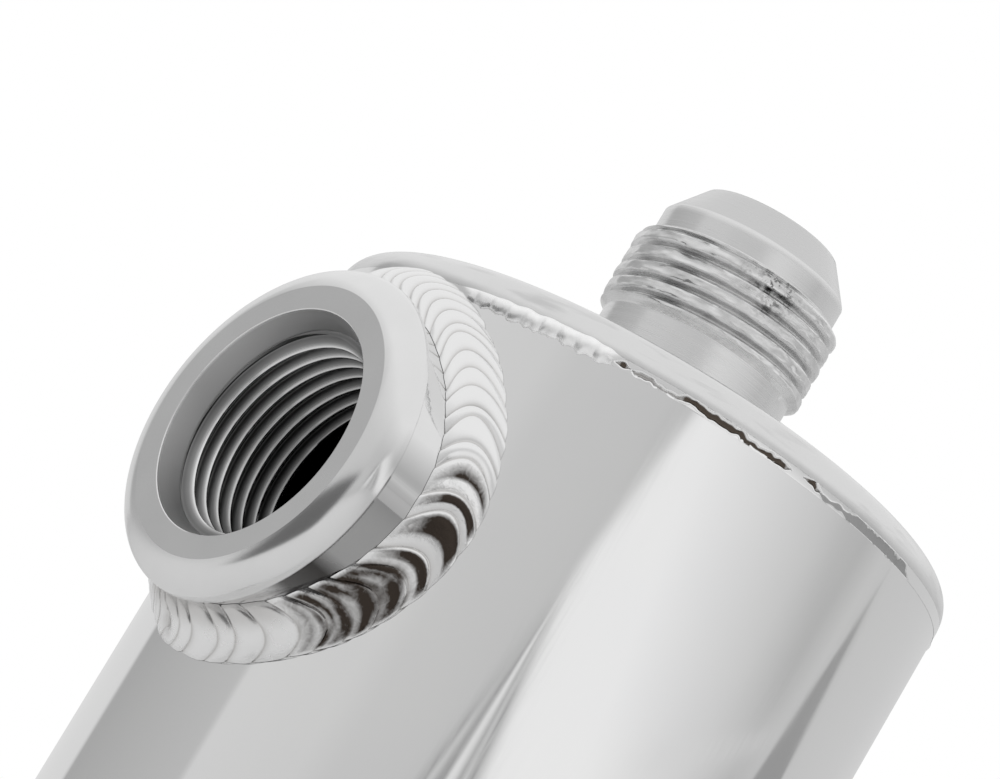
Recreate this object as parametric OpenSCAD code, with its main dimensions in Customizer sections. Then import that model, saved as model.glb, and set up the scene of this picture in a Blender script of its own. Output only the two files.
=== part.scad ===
// Oil catch can for an engine's crankcase breather.
// A welded aluminium can stands on its flat base. Breather gas enters through the male fitting on top,
// runs down the inlet tube, turns and rises through a wire mesh pack that catches the oil, and leaves
// through the threaded bung in the side. The oil gathers below and is drained through a plugged boss.
// +Z is up along the can's axis, the origin is the centre of the base, and both side ports face -Y.

/* [Can] */
// Outside diameter of the body tube
can_d = 80; // [76:1:110]
// Wall thickness of the body tube
can_wall = 2.5; // [2:0.1:3.5]
// Height of the can from its base to the flat top of the cap
can_h = 200; // [190:1:320]
// Height of each end cap outside the tube
cap_h = 4; // [3.5:0.1:6]
// Radius of the dressed corner round each end cap
cap_corner_r = 3.9; // [1:0.1:3.9]
// Depth of the locating step of each cap inside the tube
cap_step_h = 3; // [2:0.1:4]

/* [Welds] */
// Leg of the bevel on each end of the tube that the seam weld fills
seam_bevel = 1.2; // [0.8:0.1:1.6]
// Most that a seam weld stands proud of the tube
seam_crown = 0.35; // [0.1:0.05:0.5]
// Distance from one weld ripple to the next
ripple_pitch = 2.1; // [1.9:0.1:3]
// Height of a weld ripple over the valley beside it
ripple_h = 0.55; // [0.2:0.05:0.8]
// Share of a ripple's pitch by which its middle trails its toes
ripple_bow = 0.55; // [0:0.05:0.8]
// Bulge of a fillet weld's face over the straight line between its toes
weld_crown = 0.9; // [0.3:0.05:1.2]
// Gap left between a weld's root and the metal that it joins
weld_gap = 0.04; // [0.03:0.01:0.06]

/* [Top fitting] */
// Diameter of the fitting's plain neck
fitting_neck_d = 24.4; // [23:0.1:25]
// Height of the neck above the cap
fitting_neck_h = 10; // [7:0.1:14]
// Outside diameter of the thread, 1 1/16 inch
fitting_thread_d = 26.8; // [26.6:0.1:27]
// Length of the thread
fitting_thread_h = 10.6; // [8:0.1:14]
// Diameter of the smooth collar above the thread
fitting_collar_d = 23.8; // [22.4:0.1:24.2]
// Height of the collar
fitting_collar_h = 3.1; // [2:0.1:5]
// Diameter of the flat lip at the end of the cone
fitting_lip_d = 17.3; // [16.9:0.1:19]
// Half angle of the sealing cone
fitting_cone_angle = 37; // [35:1:45]
// Diameter of the bore
fitting_bore_d = 15.5; // [14:0.1:16]
// Bevel at both ends of the thread
fitting_thread_bevel = 0.9; // [0.4:0.1:1.2]
// Leg of the weld round the fitting, along the cap and up the neck
fitting_weld_leg = 3.4; // [2.5:0.1:4]

/* [Side bung] */
// Height of the bung's axis below the seam of the top cap
bung_drop = 25; // [25:0.5:40]
// How far the bung's face stands out from the tube
bung_proud = 8.8; // [8:0.1:14]
// Length of the bung from its face to its inner end
bung_length = 18; // [17.8:0.1:24]
// Diameter of the bung's body where it passes through the tube
bung_body_d = 40.4; // [37:0.1:41]
// Diameter of the flange
bung_flange_d = 42.2; // [41.8:0.1:44]
// Diameter of the flat on the flange's face
bung_face_d = 35.2; // [33:0.1:36]
// Depth of the rounded edge from the face back to the flange's widest place
bung_edge_h = 2.9; // [2:0.1:3.2]
// Thickness of the flange's plain rim behind the rounded edge
bung_rim_h = 0.5; // [0.3:0.1:1]
// Length of the slope behind the rim, from the rim down to the bung's body
bung_back_h = 0.9; // [0.3:0.1:1.2]
// Diameter of the seal chamfer at the face
bung_mouth_d = 29.1; // [28.4:0.1:30]
// Diameter of the seal chamfer where the thread starts
bung_seat_d = 27.2; // [26.9:0.1:27.4]
// Depth of the seal chamfer
bung_seat_h = 3; // [2.5:0.1:3.5]
// Bore diameter at the thread's crests, 1 1/16 inch with 12 threads an inch
bung_bore_d = 24.7; // [24.4:0.1:25]
// Leg of the bung's weld along the tube, at the sides
bung_weld_wall_side = 2.6; // [2:0.1:4]
// Leg of the bung's weld along the tube, above and below
bung_weld_wall_end = 5.3; // [4:0.1:5.4]
// Leg of the bung's weld up the body, at the sides
bung_weld_neck_side = 5.3; // [4:0.1:6]
// Leg of the bung's weld up the body, above and below
bung_weld_neck_end = 3.8; // [3:0.1:4.2]

/* [Inlet tube] */
// Outside diameter of the inlet tube, 3/4 inch
inlet_d = 19.05; // [17.5:0.05:20]
// Wall thickness of the inlet tube
inlet_wall = 1.65; // [1:0.05:1.8]
// Distance from the lower screen down to the tube's open end
inlet_reach = 30; // [12:1:40]
// Depth of the socket in the fitting that holds the tube
inlet_socket_h = 4; // [2.5:0.1:5.5]
// Leg of the weld round the inlet tube, under the cap
inlet_weld_leg = 3; // [2:0.1:4]

/* [Separator] */
// Room between the upper screen and the side bung's body
cage_room = 11.8; // [8:0.1:20]
// Height of the mesh pack between the screens
pack_h = 44; // [30:1:46]
// Thickness of each screen
screen_t = 1.5; // [1:0.1:2]
// Diameter of the holes in the screens
screen_hole_d = 4; // [3:0.1:4.5]
// Distance between the centres of neighbouring holes
screen_pitch = 7.2; // [6.5:0.1:9]
// Number of tie rods
rod_count = 3; // [3:1:4]
// Distance of the tie rods from the tube's wall
rod_inset = 9.5; // [8:0.1:12]
// Diameter of the tie rods, M4
rod_d = 4; // [3:0.1:5]
// Width across the flats of the tie rods' nuts
nut_flats = 7; // [6.5:0.1:8]
// Height of the nuts
nut_h = 3.2; // [2.4:0.1:4]
// Length of a rod that stands out past its nut
rod_end = 1.5; // [0.5:0.1:2]
// Width of each tab that the cage is bolted to
tab_w = 14; // [12:0.5:16]
// Thickness of each tab
tab_t = 2.5; // [2:0.1:4]
// Distance that each tab reaches past its rod
tab_past_rod = 7; // [5:0.5:9]
// Leg of the welds under the tabs
tab_weld_leg = 2.5; // [1.5:0.1:3]
// Clearance round the pack and the rods
cage_clearance = 0.3; // [0.2:0.05:0.5]

/* [Drain] */
// Height of the drain's axis above the base
drain_z = 22; // [22:0.5:30]
// Outside diameter of the drain boss
drain_boss_d = 24; // [23:0.5:26]
// How far the boss's face stands out from the tube
drain_proud = 5; // [4.8:0.1:8]
// Length of the boss from its face to its inner end
drain_length = 10.6; // [10.4:0.1:14]
// Bore of the boss at the pitch line of its thread, 9/16 inch with 18 threads an inch
drain_bore_d = 13.52; // [13.4:0.02:13.6]
// Running clearance between the plug and its bore, on the radius
drain_clearance = 0.06; // [0.03:0.01:0.09]
// Diameter of the seal chamfer at the boss's face
drain_mouth_d = 18; // [17.8:0.1:18.6]
// Depth of the seal chamfer
drain_seat_h = 2.2; // [2.2:0.1:2.6]
// Diameter of the plug's head
plug_head_d = 20; // [19.4:0.1:21]
// Thickness of the plug's head
plug_head_h = 3; // [2.6:0.1:5]
// Diameter of the plug's neck that the seal sits on
plug_neck_d = 12.2; // [12:0.1:12.4]
// Length of the threaded part of the plug
plug_thread_h = 6.6; // [5:0.1:7]
// Width across the flats of the plug's hexagon socket, 1/4 inch
plug_socket_flats = 6.35; // [5:0.05:8]
// Depth of the plug's hexagon socket
plug_socket_h = 5; // [3:0.1:6]
// Bevel on the plug's edges
plug_bevel = 0.6; // [0.3:0.1:0.8]
// Thickness of the seal ring's section
seal_d = 1.5; // [1.2:0.05:1.55]
// Gap between the seal ring and the faces beside it
seal_gap = 0.1; // [0.05:0.01:0.12]
// Leg of the drain boss's weld, along the tube and up the boss
drain_weld_leg = 2.8; // [2:0.1:3.2]

/* [Fits] */
// Clearance on the radius between a piece and the hole that it is welded into
joint_gap = 0.15; // [0.1:0.01:0.25]
// Gap between flat faces that move apart
face_gap = 0.05; // [0.02:0.01:0.1]

/* [Hidden] */
$fn = 96;

// Radii of the tube, and the levels of its ends and of the upper cap's underside
can_r = can_d / 2;
bore_r = can_r - can_wall;
top_seam_z = can_h - cap_h;
bottom_seam_z = cap_h;
cap_under_z = top_seam_z - cap_step_h;

// Stations of the top fitting, up from the cap
fitting_thread_z = can_h + fitting_neck_h;
fitting_collar_z = fitting_thread_z + fitting_thread_h;
fitting_cone_z = fitting_collar_z + fitting_collar_h;
fitting_lip_z = fitting_cone_z + (fitting_collar_d - fitting_lip_d) / 2 / tan(fitting_cone_angle);

// Stations of the side ports, as distances from the can's axis
bung_z = top_seam_z - bung_drop;
bung_face = can_r + bung_proud;
bung_inner = bung_face - bung_length;
drain_face = can_r + drain_proud;
drain_inner = drain_face - drain_length;
plug_head_face = drain_face + face_gap;
plug_thread_start = drain_face - drain_seat_h;
seal_ring_r = (plug_neck_d + seal_d) / 2 + seal_gap;
seal_station = plug_head_face - seal_gap - seal_d / 2;

// Levels of the separator cage, down from the side bung, and the places of its rods
cage_top = bung_z - bung_body_d / 2 - cage_room;
upper_screen_z = cage_top - screen_t;
lower_screen_top = upper_screen_z - pack_h;
cage_z = lower_screen_top - screen_t;
tab_z = cage_z - tab_t;
inlet_end_z = cage_z - inlet_reach;
rod_r = bore_r - rod_inset;
first_rod_angle = 90;
rod_angles = [for (i = [0:rod_count - 1]) first_rod_angle + i * 360 / rod_count];

// Places of the rings that draw one ripple, as shares of its pitch, and how high each one stands
ripple_steps = [0, 0.3, 0.7];
ripple_heights = [0, 0.7, 1];
// Places of the points across a weld's face, from the toe on the wall to the toe on the neck
face_steps = [0.2, 0.4, 0.6, 0.8];
// Steps round a seam weld
seam_steps = 120;
// Half angle beside the side bung where its weld lies over the seam, and the angle over which it fades
seam_dip_angle = 20;
seam_dip_fade = 8;

// Turns local +Z outwards along a side port, at the given height
module side_port(z) {
    translate([0, 0, z]) rotate([90, 0, 0]) children();
}

// A straight piece of pipe from z0 to z1
module pipe(outer_r, inner_r, z0, z1) {
    extra = 1;
    difference() {
        translate([0, 0, z0]) cylinder(r = outer_r, h = z1 - z0);
        translate([0, 0, z0 - extra]) cylinder(r = inner_r, h = z1 - z0 + 2 * extra);
    }
}

// Smooth uneven waves between -1 and 1 that close after a full turn
function wander(a) = (sin(7 * a + 20) + 0.6 * sin(17 * a + 130) + 0.5 * sin(31 * a + 250)) / 2.1;

// 0 where x is below 0, 1 where it is over 1, and a smooth rise between
function ease(x) = let(t = min(1, max(0, x))) t * t * (3 - 2 * t);

// Triangles of a closed ring of sections, each with the given number of points
function ring_faces(rings, points) = [
    for (i = [0:rings - 1]) for (j = [0:points - 1])
        let(
            n = (i + 1) % rings,
            k = (j + 1) % points,
            a = i * points + j,
            b = i * points + k,
            c = n * points + k,
            d = n * points + j
        )
        each [[a, b, c], [a, c, d]]
];

// How far the wall lies from the plane of a port's axis: a round wall of radius wall_r, or a flat one at 0
function wall_at(x, wall_r) = wall_r > 0 ? sqrt(wall_r * wall_r - x * x) : 0;

// One point of a fillet weld round a neck, at angle a, s of the way from the wall toe to the neck toe
function weld_face_point(a, s, lift, neck_r, wall_r, wall_legs, neck_legs) =
    let(
        turned = pow(sin(a), 2),
        wall_leg = wall_legs[0] + (wall_legs[1] - wall_legs[0]) * turned,
        neck_leg = neck_legs[0] + (neck_legs[1] - neck_legs[0]) * turned,
        toe_r = neck_r + wall_leg,
        root_r = neck_r + weld_gap,
        toe_d = wall_at(toe_r * cos(a), wall_r) + weld_gap,
        neck_d = wall_at(root_r * cos(a), wall_r) + neck_leg,
        slope = norm([neck_d - toe_d, toe_r - root_r]),
        bulge = 4 * s * (1 - s) * lift,
        r = toe_r + (root_r - toe_r) * s + bulge * (neck_d - toe_d) / slope,
        d = toe_d + (neck_d - toe_d) * s + bulge * (toe_r - root_r) / slope
    )
    [r * cos(a), r * sin(a), d];

// One point where the weld lies against the wall, at a share of its leg from the neck
function weld_root_point(a, share, neck_r, wall_r, wall_legs) =
    let(
        wall_leg = wall_legs[0] + (wall_legs[1] - wall_legs[0]) * pow(sin(a), 2),
        r = neck_r + weld_gap + (wall_leg - weld_gap) * share
    )
    [r * cos(a), r * sin(a), wall_at(r * cos(a), wall_r) + weld_gap];

// A rippled fillet weld round a neck that stands on a round or flat wall.
// Each pair of legs holds the one at the sides and the one above and below.
module fillet_weld(neck_r, wall_r, wall_legs, neck_legs) {
    path = 2 * PI * (neck_r + (wall_legs[0] + wall_legs[1]) / 4);
    ripples = round(path / ripple_pitch);
    rings = [for (i = [0:ripples - 1]) for (j = [0:len(ripple_steps) - 1]) [i + ripple_steps[j], j]];
    turn = 360 / ripples;
    points = [
        for (ring = rings)
            let(a = ring[0] * turn, lift = weld_crown + ripple_h * (ripple_heights[ring[1]] - 0.5))
            each concat(
                [for (share = [0, 0.5]) weld_root_point(a, share, neck_r, wall_r, wall_legs)],
                [weld_face_point(a, 0, 0, neck_r, wall_r, wall_legs, neck_legs)],
                [for (s = face_steps)
                    let(trail = a + 4 * s * (1 - s) * ripple_bow * turn)
                    weld_face_point(trail, s, lift, neck_r, wall_r, wall_legs, neck_legs)],
                [weld_face_point(a, 1, 0, neck_r, wall_r, wall_legs, neck_legs)]
            )
    ];
    section = len(face_steps) + 4;
    polyhedron(points = points, faces = ring_faces(len(rings), section), convexity = 6);
}

// The weld in the bevel at the tube's upper end, with the seam at z = 0.
// Its outside wanders in and out and laps a little over the cap's edge. Where the side bung's weld
// passes over it, it lies flush.
module seam_weld(over_bung) {
    root_gap = weld_gap * sqrt(2);
    low_share = 0.25;
    lap = 0.3;
    least = weld_gap / 4;
    cap_side_r = can_r + weld_gap / 2;
    section = 6;
    points = [
        for (i = [0:seam_steps - 1])
            let(
                a = i * 360 / seam_steps,
                away = min(abs(a - 270), 360 - abs(a - 270)),
                open = over_bung ? ease((away - seam_dip_angle) / seam_dip_fade) : 1,
                crown = least + seam_crown * (0.5 + 0.5 * wander(a)) * open,
                rise = least + lap * (0.5 + 0.5 * wander(a + 90)) * open
            )
            each [
                for (p = [
                    [can_r - seam_bevel + root_gap + weld_gap, -weld_gap],
                    [can_r + weld_gap / 4, -seam_bevel + root_gap],
                    [can_r + crown, -seam_bevel * (1 - low_share)],
                    [can_r + crown, -seam_bevel * low_share],
                    [cap_side_r + crown / 2, rise],
                    [cap_side_r, -weld_gap]
                ]) [p[0] * cos(a), p[0] * sin(a), p[1]]
            ]
    ];
    polyhedron(points = points, faces = ring_faces(seam_steps, section), convexity = 4);
}

// The outline of an end cap, up from the seam, from its axis outwards
module cap_outline() {
    square([can_r - cap_corner_r, cap_h]);
    square([can_r, cap_h - cap_corner_r]);
    translate([can_r - cap_corner_r, cap_h - cap_corner_r]) intersection() {
        circle(r = cap_corner_r);
        square(cap_corner_r);
    }
    translate([0, -cap_step_h]) square([bore_r - joint_gap, cap_step_h]);
}

// A disc of sheet with the tie rods' holes, the inlet tube's hole and a field of round holes
module screen(z) {
    rim = 2.5;
    edge_r = bore_r - 2 * cage_clearance;
    middle_r = inlet_d / 2 + cage_clearance;
    rod_hole_r = rod_d / 2 + cage_clearance;
    row = screen_pitch * sqrt(3) / 2;
    reach = floor(edge_r / row);
    translate([0, 0, z]) linear_extrude(screen_t) difference() {
        circle(r = edge_r);
        circle(r = middle_r);
        for (a = rod_angles) rotate(a) translate([rod_r, 0]) circle(r = rod_hole_r);
        for (j = [-reach:reach]) for (i = [-reach:reach]) {
            p = [(i + (j % 2 == 0 ? 0 : 0.5)) * screen_pitch, j * row];
            from_rods = min([for (a = rod_angles) norm(p - rod_r * [cos(a), sin(a)])]);
            if (norm(p) + screen_hole_d / 2 + rim < edge_r
                && norm(p) - screen_hole_d / 2 - rim > middle_r
                && from_rods - screen_hole_d / 2 > nut_flats / 2 + rim / 2)
                translate(p) circle(d = screen_hole_d, $fn = 24);
        }
    }
}

// A copy of the children at each tie rod
module at_rods() {
    for (a = rod_angles) rotate(a) translate([rod_r, 0, 0]) children();
}

module body_tube() {
    color([0.80, 0.80, 0.81]) difference() {
        rotate_extrude() polygon([
            [bore_r, bottom_seam_z],
            [can_r - seam_bevel, bottom_seam_z],
            [can_r, bottom_seam_z + seam_bevel],
            [can_r, top_seam_z - seam_bevel],
            [can_r - seam_bevel, top_seam_z],
            [bore_r, top_seam_z]
        ]);
        side_port(bung_z) cylinder(d = bung_body_d + 2 * joint_gap, h = can_d);
        side_port(drain_z) cylinder(d = drain_boss_d + 2 * joint_gap, h = can_d);
    }
}

module top_cap() {
    color([0.84, 0.84, 0.85]) difference() {
        translate([0, 0, top_seam_z]) rotate_extrude() cap_outline();
        cylinder(d = fitting_neck_d + 2 * joint_gap, h = 2 * can_h);
    }
}

module bottom_cap() {
    color([0.84, 0.84, 0.85])
        translate([0, 0, bottom_seam_z]) mirror([0, 0, 1]) rotate_extrude() cap_outline();
}

module top_seam_weld() {
    color([0.90, 0.90, 0.90]) translate([0, 0, top_seam_z]) seam_weld(true);
}

module bottom_seam_weld() {
    color([0.90, 0.90, 0.90])
        translate([0, 0, bottom_seam_z]) mirror([0, 0, 1]) seam_weld(false);
}

module top_fitting() {
    color([0.78, 0.78, 0.78]) rotate_extrude() polygon([
        [inlet_d / 2 + joint_gap, cap_under_z],
        [fitting_neck_d / 2, cap_under_z],
        [fitting_neck_d / 2, fitting_thread_z],
        [fitting_thread_d / 2, fitting_thread_z + fitting_thread_bevel],
        [fitting_thread_d / 2, fitting_collar_z - fitting_thread_bevel],
        [fitting_collar_d / 2, fitting_collar_z],
        [fitting_collar_d / 2, fitting_cone_z],
        [fitting_lip_d / 2, fitting_lip_z],
        [fitting_bore_d / 2, fitting_lip_z],
        [fitting_bore_d / 2, cap_under_z + inlet_socket_h],
        [inlet_d / 2 + joint_gap, cap_under_z + inlet_socket_h]
    ]);
}

module top_fitting_weld() {
    legs = [fitting_weld_leg, fitting_weld_leg];
    color([0.90, 0.90, 0.90])
        translate([0, 0, can_h]) fillet_weld(fitting_neck_d / 2, 0, legs, legs);
}

// The bung is a turned ring: a flat face with a rounded edge, a seal chamfer and a threaded bore
module side_bung() {
    edge_w = (bung_flange_d - bung_face_d) / 2;
    rim_back = bung_face - bung_edge_h - bung_rim_h;
    color([0.72, 0.72, 0.72]) side_port(bung_z) rotate_extrude() polygon(concat(
        [[bung_bore_d / 2, bung_inner], [bung_body_d / 2, bung_inner]],
        [[bung_body_d / 2, rim_back - bung_back_h], [bung_flange_d / 2, rim_back]],
        [for (a = [0:15:90])
            [bung_face_d / 2 + edge_w * cos(a), bung_face - bung_edge_h * (1 - sin(a))]],
        [[bung_mouth_d / 2, bung_face], [bung_seat_d / 2, bung_face - bung_seat_h]],
        [[bung_bore_d / 2, bung_face - bung_seat_h - (bung_seat_d - bung_bore_d) / 2]]
    ));
}

module side_bung_weld() {
    color([0.88, 0.88, 0.88]) side_port(bung_z) fillet_weld(
        bung_body_d / 2,
        can_r,
        [bung_weld_wall_side, bung_weld_wall_end],
        [bung_weld_neck_side, bung_weld_neck_end]
    );
}

module inlet_tube() {
    top = cap_under_z + inlet_socket_h - face_gap;
    color([0.75, 0.75, 0.76]) pipe(inlet_d / 2, inlet_d / 2 - inlet_wall, inlet_end_z, top);
}

module inlet_tube_weld() {
    r = inlet_d / 2 + weld_gap;
    color([0.88, 0.88, 0.88]) rotate_extrude() polygon([
        [r, cap_under_z],
        [r, cap_under_z - inlet_weld_leg],
        [r + inlet_weld_leg, cap_under_z]
    ]);
}

module upper_screen() {
    color([0.62, 0.63, 0.64]) screen(upper_screen_z);
}

module lower_screen() {
    color([0.62, 0.63, 0.64]) screen(cage_z);
}

module mesh_pack() {
    color([0.55, 0.56, 0.57]) difference() {
        pipe(
            bore_r - cage_clearance,
            inlet_d / 2 + cage_clearance,
            lower_screen_top,
            upper_screen_z
        );
        at_rods() cylinder(r = rod_d / 2 + cage_clearance, h = can_h);
    }
}

module tie_rods() {
    z0 = tab_z - nut_h - rod_end;
    z1 = cage_top + nut_h + rod_end;
    color([0.60, 0.60, 0.62]) at_rods() translate([0, 0, z0]) cylinder(d = rod_d, h = z1 - z0);
}

module tie_rod_nuts() {
    extra = 1;
    color([0.66, 0.66, 0.68]) at_rods() for (z = [tab_z - nut_h, cage_top])
        translate([0, 0, z]) difference() {
            cylinder(d = nut_flats / cos(30), h = nut_h, $fn = 6);
            translate([0, 0, -extra]) cylinder(d = rod_d + 2 * face_gap, h = nut_h + 2 * extra);
        }
}

// Flat tabs that reach in from the tube's wall under the lower screen
module screen_tabs() {
    color([0.74, 0.74, 0.75]) difference() {
        intersection() {
            for (a = rod_angles) rotate(a) translate([rod_r - tab_past_rod, -tab_w / 2, tab_z])
                cube([tab_past_rod + rod_inset + can_wall, tab_w, tab_t]);
            cylinder(r = bore_r - weld_gap, h = can_h);
        }
        at_rods() cylinder(r = rod_d / 2 + cage_clearance, h = can_h);
    }
}

module screen_tab_welds() {
    spread = 2 * asin(tab_w / 2 / bore_r);
    outer = bore_r - weld_gap;
    color([0.88, 0.88, 0.88]) for (a = rod_angles) rotate(a - spread / 2)
        rotate_extrude(angle = spread) polygon([
            [outer, tab_z],
            [outer - tab_weld_leg, tab_z],
            [outer, tab_z - tab_weld_leg]
        ]);
}

module drain_boss() {
    color([0.76, 0.76, 0.76]) side_port(drain_z) rotate_extrude() polygon([
        [drain_bore_d / 2, drain_inner],
        [drain_boss_d / 2, drain_inner],
        [drain_boss_d / 2, drain_face - plug_bevel],
        [drain_boss_d / 2 - plug_bevel, drain_face],
        [drain_mouth_d / 2, drain_face],
        [drain_bore_d / 2, drain_face - drain_seat_h]
    ]);
}

module drain_boss_weld() {
    legs = [drain_weld_leg, drain_weld_leg];
    color([0.88, 0.88, 0.88])
        side_port(drain_z) fillet_weld(drain_boss_d / 2, can_r, legs, legs);
}

module drain_plug() {
    thread_r = drain_bore_d / 2 - drain_clearance;
    head_r = plug_head_d / 2;
    neck_r = plug_neck_d / 2;
    top = plug_head_face + plug_head_h;
    end = plug_thread_start - plug_thread_h;
    color([0.70, 0.70, 0.71]) side_port(drain_z) difference() {
        rotate_extrude() polygon([
            [0, end],
            [thread_r - plug_bevel, end],
            [thread_r, end + plug_bevel],
            [thread_r, plug_thread_start],
            [neck_r, plug_thread_start],
            [neck_r, plug_head_face],
            [head_r, plug_head_face],
            [head_r, top - plug_bevel],
            [head_r - plug_bevel, top],
            [0, top]
        ]);
        translate([0, 0, top - plug_socket_h])
            cylinder(d = plug_socket_flats / cos(30), h = 2 * plug_socket_h, $fn = 6);
    }
}

module drain_seal() {
    color([0.10, 0.10, 0.10]) side_port(drain_z)
        translate([0, 0, seal_station]) rotate_extrude() translate([seal_ring_r, 0]) circle(d = seal_d);
}

body_tube();
top_cap();
bottom_cap();
top_seam_weld();
bottom_seam_weld();
top_fitting();
top_fitting_weld();
side_bung();
side_bung_weld();
inlet_tube();
inlet_tube_weld();
upper_screen();
lower_screen();
mesh_pack();
tie_rods();
tie_rod_nuts();
screen_tabs();
screen_tab_welds();
drain_boss();
drain_boss_weld();
drain_plug();
drain_seal();
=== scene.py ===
import random
from math import ceil, cos, degrees, exp, floor, hypot, pi, radians, sin, sqrt

import bpy
from mathutils import Matrix, Vector, noise


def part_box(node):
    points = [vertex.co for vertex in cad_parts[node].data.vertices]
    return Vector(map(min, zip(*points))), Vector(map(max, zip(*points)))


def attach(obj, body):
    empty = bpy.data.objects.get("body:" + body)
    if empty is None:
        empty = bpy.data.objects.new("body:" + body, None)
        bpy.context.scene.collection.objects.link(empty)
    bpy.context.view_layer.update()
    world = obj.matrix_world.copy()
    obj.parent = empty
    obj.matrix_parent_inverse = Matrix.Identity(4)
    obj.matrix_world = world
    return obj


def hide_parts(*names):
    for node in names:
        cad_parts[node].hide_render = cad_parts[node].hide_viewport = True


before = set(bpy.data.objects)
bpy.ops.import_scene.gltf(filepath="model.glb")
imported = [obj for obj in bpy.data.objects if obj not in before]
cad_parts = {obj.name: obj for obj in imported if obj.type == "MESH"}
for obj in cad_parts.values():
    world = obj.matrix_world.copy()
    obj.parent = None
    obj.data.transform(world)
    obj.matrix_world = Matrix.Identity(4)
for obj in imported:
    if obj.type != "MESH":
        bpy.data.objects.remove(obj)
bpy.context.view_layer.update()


# Body tube: drawn aluminium tube, cut to length, bevelled at both ends for the seam welds and holed
# in its side for the bung and the drain boss. Its outside is buffed to a mirror along its length.
MM = 0.001
steps_round = 256


def pick(piece=None):
    """Picks one piece for the next operation, or none before a new piece is made."""
    bpy.ops.object.select_all(action="DESELECT")
    if piece:
        piece.select_set(True)
        bpy.context.view_layer.objects.active = piece


def named(name):
    """Names the piece that was just made, and its mesh."""
    piece = bpy.context.object
    piece.name = piece.data.name = name
    return piece


def turn_on_lathe(name, outline):
    """Turns a closed outline of (radius, height) points in mm round Z."""
    pick()
    bpy.ops.mesh.primitive_circle_add(vertices=len(outline), radius=1)
    piece = named(name)
    for vertex, (radius, height) in zip(piece.data.vertices, outline):
        vertex.co = (radius * MM, 0, height * MM)
    bpy.ops.object.mode_set(mode="EDIT")
    bpy.ops.mesh.select_all(action="SELECT")
    bpy.ops.mesh.spin(steps=steps_round, angle=2 * pi, center=(0, 0, 0), axis=(0, 0, 1))
    bpy.ops.object.mode_set(mode="OBJECT")
    close_seams(piece)
    return piece


def close_seams(piece):
    """Merges points that meet, drops loose ones and turns the faces outwards."""
    pick(piece)
    bpy.ops.object.mode_set(mode="EDIT")
    bpy.ops.mesh.select_all(action="SELECT")
    bpy.ops.mesh.remove_doubles(threshold=0.002 * MM)
    bpy.ops.mesh.delete_loose(use_verts=True, use_edges=True, use_faces=False)
    bpy.ops.mesh.select_all(action="SELECT")
    bpy.ops.mesh.normals_make_consistent(inside=False)
    bpy.ops.object.mode_set(mode="OBJECT")


def stations(start, end, spacing):
    """Even stations from start to end, both included, about the spacing apart."""
    count = max(1, round(abs(end - start) / spacing))
    return [start + (end - start) * i / count for i in range(count + 1)]


def smooth(piece, angle=35):
    """Smooths a piece's shading, apart from edges sharper than the angle."""
    pick(piece)
    bpy.ops.object.shade_smooth_by_angle(angle=radians(angle))


def cut_away(piece, tool):
    """Cuts a tool's shape out of a piece and takes the tool away."""
    cut = piece.modifiers.new("cut", "BOOLEAN")
    cut.object = tool
    cut.operation = "DIFFERENCE"
    cut.solver = "EXACT"
    pick(piece)
    bpy.ops.object.modifier_apply(modifier=cut.name)
    bpy.data.objects.remove(tool)


def drill_side(piece, radius, height):
    """Drills a round hole through the wall on the -Y side, in mm."""
    drill_length = 50
    drill_middle = -35
    pick()
    bpy.ops.mesh.primitive_cylinder_add(
        vertices=192,
        radius=radius * MM,
        depth=drill_length * MM,
        location=(0, drill_middle * MM, height * MM),
        rotation=(pi / 2, 0, 0),
    )
    cut_away(piece, bpy.context.object)


def stand_in_for(piece, node, metal, body="can"):
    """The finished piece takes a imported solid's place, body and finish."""
    piece.data.materials.clear()
    piece.data.materials.append(metal)
    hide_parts(node)
    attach(piece, body)


tube_low, tube_high = (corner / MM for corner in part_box("body_tube"))
can_r = tube_high.x
tube_wall = 2.5
bore_r = can_r - tube_wall
seam_bevel = 1.2
seam_z = tube_high.z
base_seam_z = tube_low.z
bung_z = 171
bung_body_r = 20.2
drain_z = 22
drain_boss_r = 12
weld_room = 0.15

outer_wall = stations(base_seam_z + seam_bevel, seam_z - seam_bevel, 2)
inner_wall = stations(seam_z, base_seam_z, 4)
body_tube = turn_on_lathe("buffed_body_tube", (
    [(can_r - seam_bevel, base_seam_z)]
    + [(can_r, z) for z in outer_wall]
    + [(can_r - seam_bevel, seam_z)]
    + [(bore_r, z) for z in inner_wall]
))
drill_side(body_tube, bung_body_r + weld_room, bung_z)
drill_side(body_tube, drain_boss_r + weld_room, drain_z)
smooth(body_tube)


def add_node(tree, kind, inputs=None, **settings):
    """Adds a shader node, sets it, and wires or fills its inputs."""
    node = tree.nodes.new(kind)
    for name, value in settings.items():
        setattr(node, name, value)
    for socket, value in (inputs or {}).items():
        if isinstance(value, bpy.types.NodeSocket):
            tree.links.new(value, node.inputs[socket])
        else:
            node.inputs[socket].default_value = value
    return node


def opaque(color):
    """A full colour from a grey or from its three parts."""
    return (color, color, color, 1) if isinstance(color, float) else (*color, 1)


def shade_of(tree, factor, first, second):
    """A colour between two, by a factor."""
    mix = add_node(tree, "ShaderNodeMix", data_type="RGBA")
    tree.links.new(factor, mix.inputs[0])
    for socket, color in ((6, first), (7, second)):
        if isinstance(color, bpy.types.NodeSocket):
            tree.links.new(color, mix.inputs[socket])
        else:
            mix.inputs[socket].default_value = opaque(color)
    return mix.outputs[2]


def remap(tree, value, low, high, to_low=0, to_high=1):
    """A value moved from one range into another, kept inside it."""
    return add_node(tree, "ShaderNodeMapRange", {
        "Value": value, "From Min": low, "From Max": high, "To Min": to_low, "To Max": to_high,
    }).outputs["Result"]


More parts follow.
